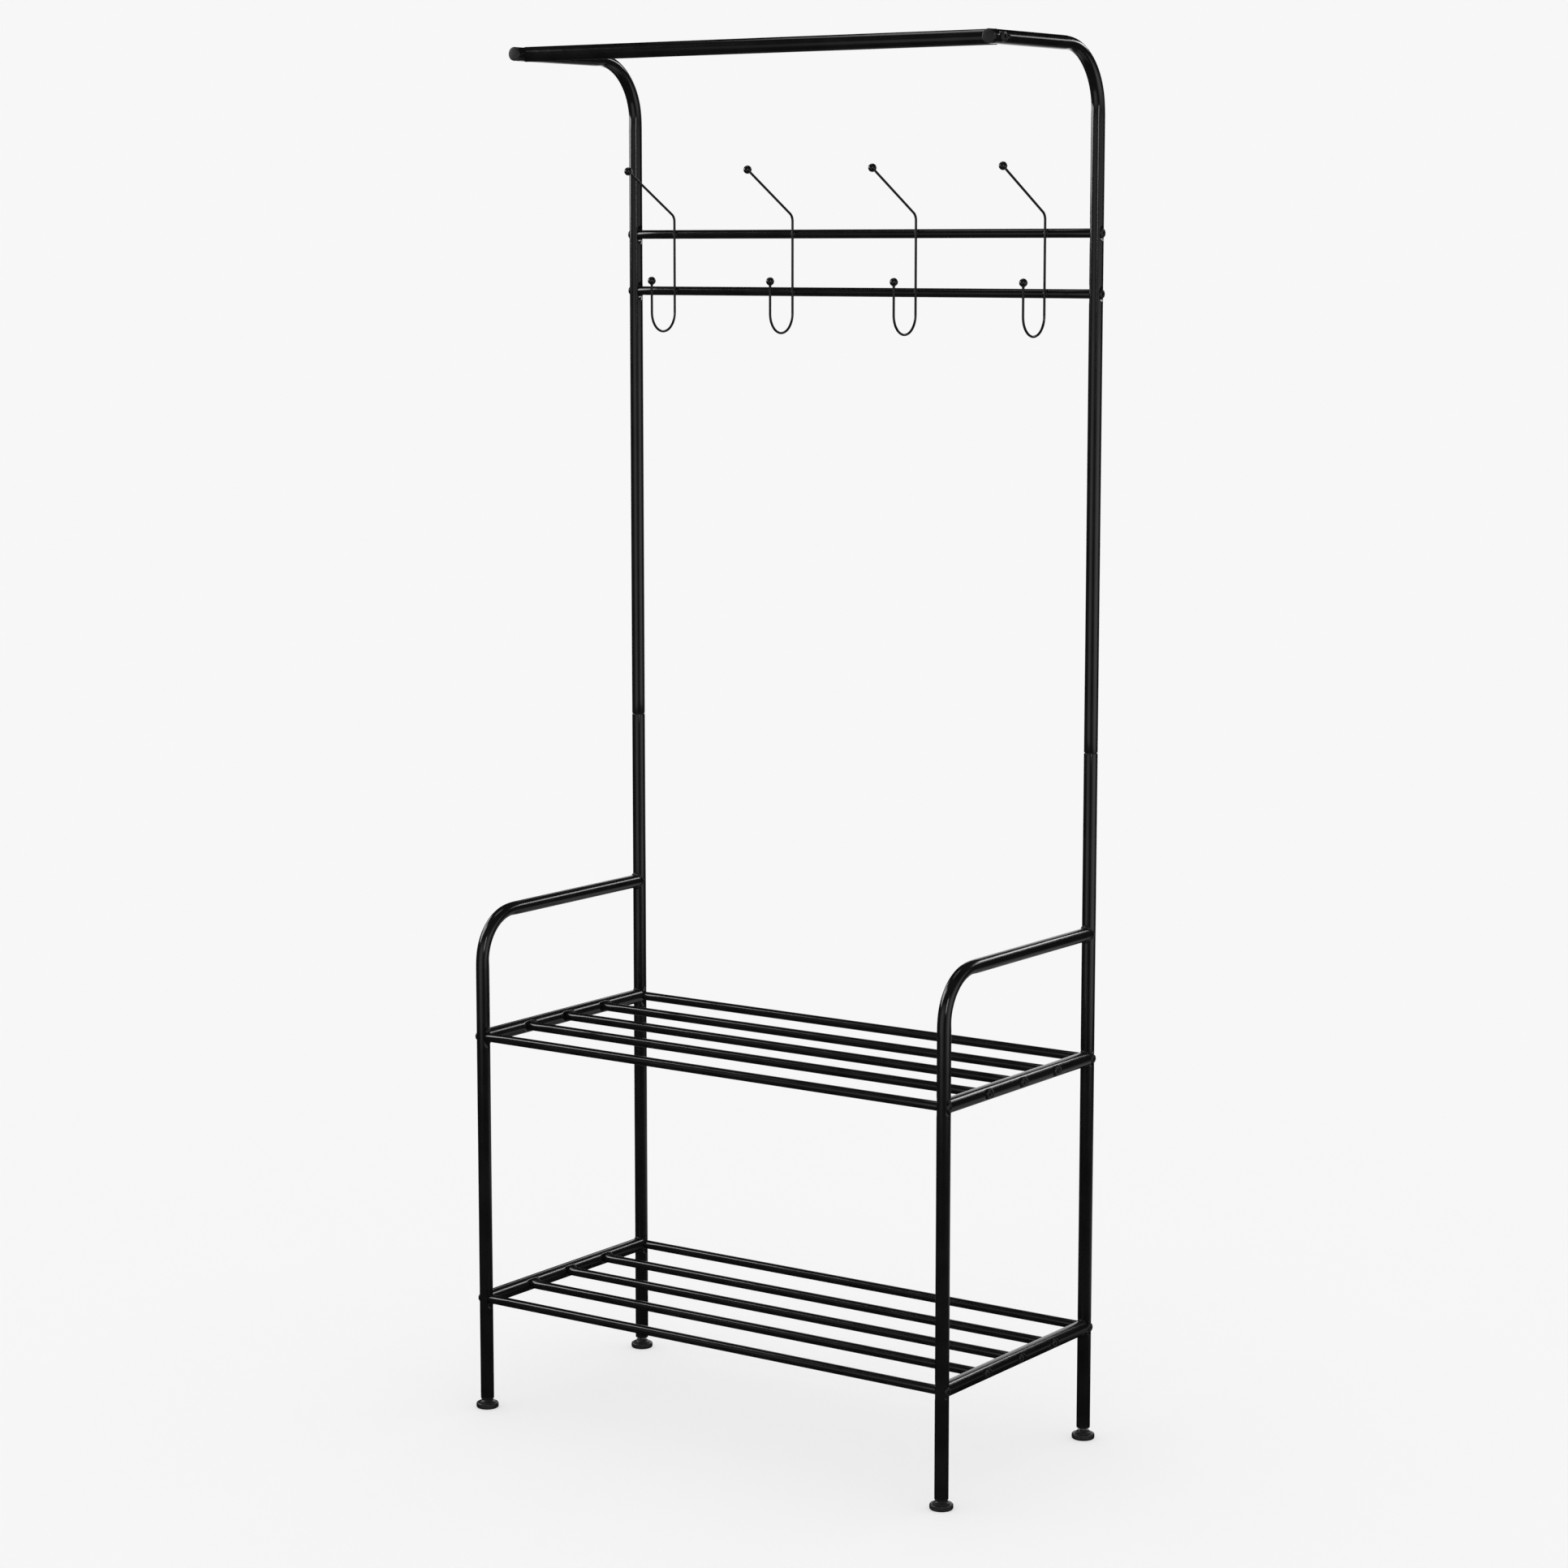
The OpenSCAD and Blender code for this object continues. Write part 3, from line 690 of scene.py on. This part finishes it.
def foot_pad_outline(top):
    """Pad: flat sole with a shallow recess, round-edged rim, step, cone, and a hub round the stud."""
    rim_r, rim_top, rim_edge = 16 * MM, 8 * MM, 2.5 * MM
    step_r, step_top, step_edge = 12 * MM, 9.4 * MM, 0.7 * MM
    hub_r = 8.2 * MM
    hole_r = 4.1 * MM
    pocket_r = 6.8 * MM
    outline = [(8 * MM, 0.5 * MM), (8.6 * MM, 0.4 * MM), (9 * MM, 0), (rim_r - rim_edge, 0)]
    outline += arc(rim_r - rim_edge, rim_edge, rim_edge, -90, 0)[1:]
    outline += [(rim_r, 4.0 * MM), (rim_r - 0.12 * MM, 4.2 * MM), (rim_r, 4.4 * MM)]
    outline += arc(rim_r - rim_edge, rim_top - rim_edge, rim_edge, 0, 90)
    outline += [(step_r + 0.5 * MM, rim_top - 0.25 * MM), (step_r, rim_top - 0.05 * MM)]
    outline += arc(step_r - step_edge, step_top - step_edge, step_edge, 0, 80, 4)
    outline += [(10.6 * MM, step_top + 0.1 * MM), (hub_r + 1.1 * MM, step_top + 0.6 * MM)]
    outline += [(hub_r, top - 1.2 * MM)]
    outline += arc(hub_r - 0.6 * MM, top - 0.6 * MM, 0.6 * MM, 0, 90, 4)
    outline += [(hole_r, top), (hole_r, 6 * MM), (pocket_r, 6 * MM), (pocket_r, 2.7 * MM)]
    return outline


def stud_rings(place, thread_bottom, thread_top):
    """Rings of a threaded stud with a round head at its foot; the thread is a real M8 helix."""
    pitch, major_r, depth = 1.25 * MM, 3.98 * MM, 0.65 * MM
    sides = 40
    angles = np.arange(sides) * 2 * math.pi / sides
    rings = []

    def add(radius, height):
        rings.append(np.stack([place[0] + radius * np.cos(angles), place[1] + radius * np.sin(angles),
                               np.full(sides, height)], axis=1))

    head_r, head_low, head_high = 6.5 * MM, 3.0 * MM, 5.7 * MM
    head_edge = 0.3 * MM
    add(head_r - head_edge, head_low)
    add(head_r, head_low + head_edge)
    add(head_r, head_high - head_edge)
    add(head_r - head_edge, head_high)
    add(3.4 * MM, head_high)
    steps = int((thread_top - thread_bottom) / pitch * 7)
    for i in range(steps + 1):
        height = thread_bottom + (thread_top - thread_bottom) * i / steps
        turn = np.mod(height / pitch - angles / (2 * math.pi), 1)
        tooth = np.clip(np.abs(turn - 0.5) * 2.4 - 0.1, 0, 1)
        fade = min(1, i / 7, (steps - i) / 7)
        add(major_r - depth * (1 - (1 - tooth) * fade), height)
    add(major_r - depth - 0.4 * MM, thread_top + 0.4 * MM)
    return rings


def make_feet():
    for end in ("front", "rear"):
        for word, _ in SIDES:
            pad, stud = f"{end}_{word}_foot_pad", f"{end}_{word}_foot_stud"
            place = middle(pad)
            outline = foot_pad_outline(high(pad).z)
            make_piece(f"{pad}_moulded", [turned_part(outline, (place.x, place.y, 0), (0, 0, 1), sides=96)],
                       PLASTIC, body=f"{end}_{word}_pad", replaces=[pad])
            rings = stud_rings(place, 6.2 * MM, high(stud).z - 0.4 * MM)
            make_piece(f"{stud}_threaded", [ring_part(rings)],
                       ZINC, body=f"{end}_{word}_stud", replaces=[stud], crease=30)


# ---- The pieces ----

for word, side in SIDES:
    make_side_frame(word, side)
make_cross_tubes()
make_bolts()
make_welds()
make_hooks()
make_arm_caps()
make_feet()

# CAD nodes that stay as they are: inner sleeves, plugs and the leg inserts
KEPT_NODES = {
    "left_post_sleeve": BLACK_ZINC,
    "right_post_sleeve": BLACK_ZINC,
    "seat_bar_plugs": ZINC,
    "low_bar_plugs": ZINC,
    "hook_rail_plugs": ZINC,
    "hanging_rail_plugs": ZINC,
    "leg_inserts": PLASTIC,
}
for node, material in KEPT_NODES.items():
    mesh_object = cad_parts[node]
    if not mesh_object.material_slots:
        mesh_object.data.materials.append(material)
    for material_slot in mesh_object.material_slots:
        material_slot.material = material


# ---- Floor, light and camera ----

BACKDROP = 0.93              # brightness of the empty background
FLOOR_COLOUR = 0.5           # share of the light it gives back, the rest of its tone is its own glow


def make_floor():
    """A pale floor that reads as the same tone as the backdrop, with only a faint shadow."""
    material, tree, shader, place = new_material("pale_floor")
    tones = (FLOOR_COLOUR - 0.001,) * 3, (FLOOR_COLOUR + 0.001,) * 3
    tree.links.new(colour_between(tree, noise(tree, place, 3), *tones), shader.inputs["Base Color"])
    shader.inputs["Roughness"].default_value = 0.9
    shader.inputs["Specular IOR Level"].default_value = 0.0
    shader.inputs["Emission Color"].default_value = (1, 1, 1, 1)
    shader.inputs["Emission Strength"].default_value = BACKDROP * (1 - FLOOR_COLOUR)
    size = 200
    mesh = bpy.data.meshes.new("floor")
    corners = [(-size, -size, 0), (size, -size, 0), (size, size, 0), (-size, size, 0)]
    mesh.from_pydata(corners, [], [(0, 1, 2, 3)])
    mesh.materials.append(material)
    floor = bpy.data.objects.new("floor", mesh)
    floor.visible_glossy = False
    scene.collection.objects.link(floor)
    return floor


def make_world():
    world = bpy.data.worlds.new("studio")
    world.use_nodes = True
    background = world.node_tree.nodes["Background"]
    background.inputs["Color"].default_value = (1, 1, 1, 1)
    background.inputs["Strength"].default_value = BACKDROP
    world.cycles_visibility.glossy = False
    scene.world = world


def softbox(name, place, target, width, height, brightness, not_on):
    """Rectangular soft light that faces a target and leaves the floor's even tone alone."""
    light = bpy.data.lights.new(name, "AREA")
    light.shape = "RECTANGLE"
    light.size = width
    light.size_y = height
    light.energy = brightness * math.pi * width * height
    lamp = bpy.data.objects.new(name, light)
    lamp.location = place
    lamp.rotation_euler = (Vector(target) - Vector(place)).to_track_quat("-Z", "Y").to_euler()
    lamp.visible_camera = False
    scene.collection.objects.link(lamp)
    lamp.light_linking.receiver_collection = not_on


PANEL_LAYERS = ((0.4, 1.45), (0.8, 1.50), (1.2, 1.90), (1.6, 2.20))    # share of the width, height


def soft_panel(name, place, target, width, brightness, not_on):
    """Panel that stands on the floor and fades out sideways and upward: softboxes one behind another."""
    behind = (Vector(place) - Vector(target)).normalized() * 0.02
    for i, (share, height) in enumerate(PANEL_LAYERS):
        shift = Vector((0, 0, height / 2)) + behind * i
        softbox(f"{name}_{i}", Vector(place) + shift, Vector(target) + shift,
                width * share, height, brightness / len(PANEL_LAYERS), not_on)


def soft_floor(name, x, y, width, depth, brightness, not_on):
    """Patch of bright floor, as the undersides of the tubes see it, that fades out on all sides."""
    for i, (share, _) in enumerate(PANEL_LAYERS):
        place = Vector((x, y, 0.02 + 0.005 * i))
        softbox(f"{name}_{i}", place, place + Vector((0, 0, 1)), width * share, depth * share,
                brightness / len(PANEL_LAYERS), not_on)


def make_lights(floor):
    """Softboxes placed so that the tubes show the highlights of a satin black coat in a white studio."""
    not_on_floor = bpy.data.collections.new("lit_by_softboxes")
    not_on_floor.objects.link(floor)
    not_on_floor.collection_objects[0].light_linking.link_state = "EXCLUDE"
    # two wide panels draw the pair of soft bands on the posts
    soft_panel("right_panel", (2.8, 0.3, 0.03), (0, 0.3, 0.03), 2.7, 1.0, not_on_floor)
    soft_panel("front_panel", (-0.25, -2.6, 0.03), (-0.25, 0, 0.03), 2.3, 0.72, not_on_floor)
    # keys above the camera's height draw the bright lines on the bends, balls and upper posts
    softbox("camera_key", (3.9, -4.2, 3.0), (0.4, 0, 1.0), 1.0, 2.6, 6.0, not_on_floor)
    softbox("left_key", (-3.2, -1.7, 2.9), (0.4, 0, 1.0), 0.9, 2.2, 7.0, not_on_floor)
    softbox("left_high", (-3.2, -0.1, 2.2), (0.4, 0.1, 1.8), 1.8, 1.0, 4.5, not_on_floor)
    # strips overhead and behind draw the lines along the rails and arms
    softbox("overhead", (-0.6, 0.26, 3.4), (-0.3, 0.1, 0), 1.1, 0.6, 1.5, not_on_floor)
    softbox("back_strip", (1.15, 3.7, 3.05), (0.2, 0, 0.8), 1.3, 0.35, 8.0, not_on_floor)
    softbox("back_right", (2.4, 3.7, 3.05), (0.8, 0, 1.9), 1.0, 0.6, 3.0, not_on_floor)
    # the backdrop and the floor behind, as the tubes see them at a glancing angle
    softbox("backdrop_glow", (-1.7, 3.7, 1.45), (-1.7, 0, 1.45), 2.9, 2.6, 1.2, not_on_floor)
    soft_floor("floor_glow", 0.1, 1.15, 2.0, 1.0, 0.4, not_on_floor)
    soft_floor("far_floor_glow", -1.2, 3.4, 2.4, 1.2, 0.7, not_on_floor)


def make_camera():
    """The photograph's viewpoint: standing height, right of the front, aimed at the object's middle."""
    data = bpy.data.cameras.new("camera")
    data.sensor_width = 36
    data.lens = 86.6
    data.clip_end = 500
    camera = bpy.data.objects.new("camera", data)
    camera.location = (2.980, -4.243, 1.649)
    azimuth, tilt = math.radians(35.04), math.radians(-8.04)
    camera.rotation_euler = (math.pi / 2 + tilt, 0, azimuth)
    scene.collection.objects.link(camera)
    scene.camera = camera


floor = make_floor()
make_world()
make_lights(floor)
make_camera()
scene.view_settings.view_transform = "Standard"
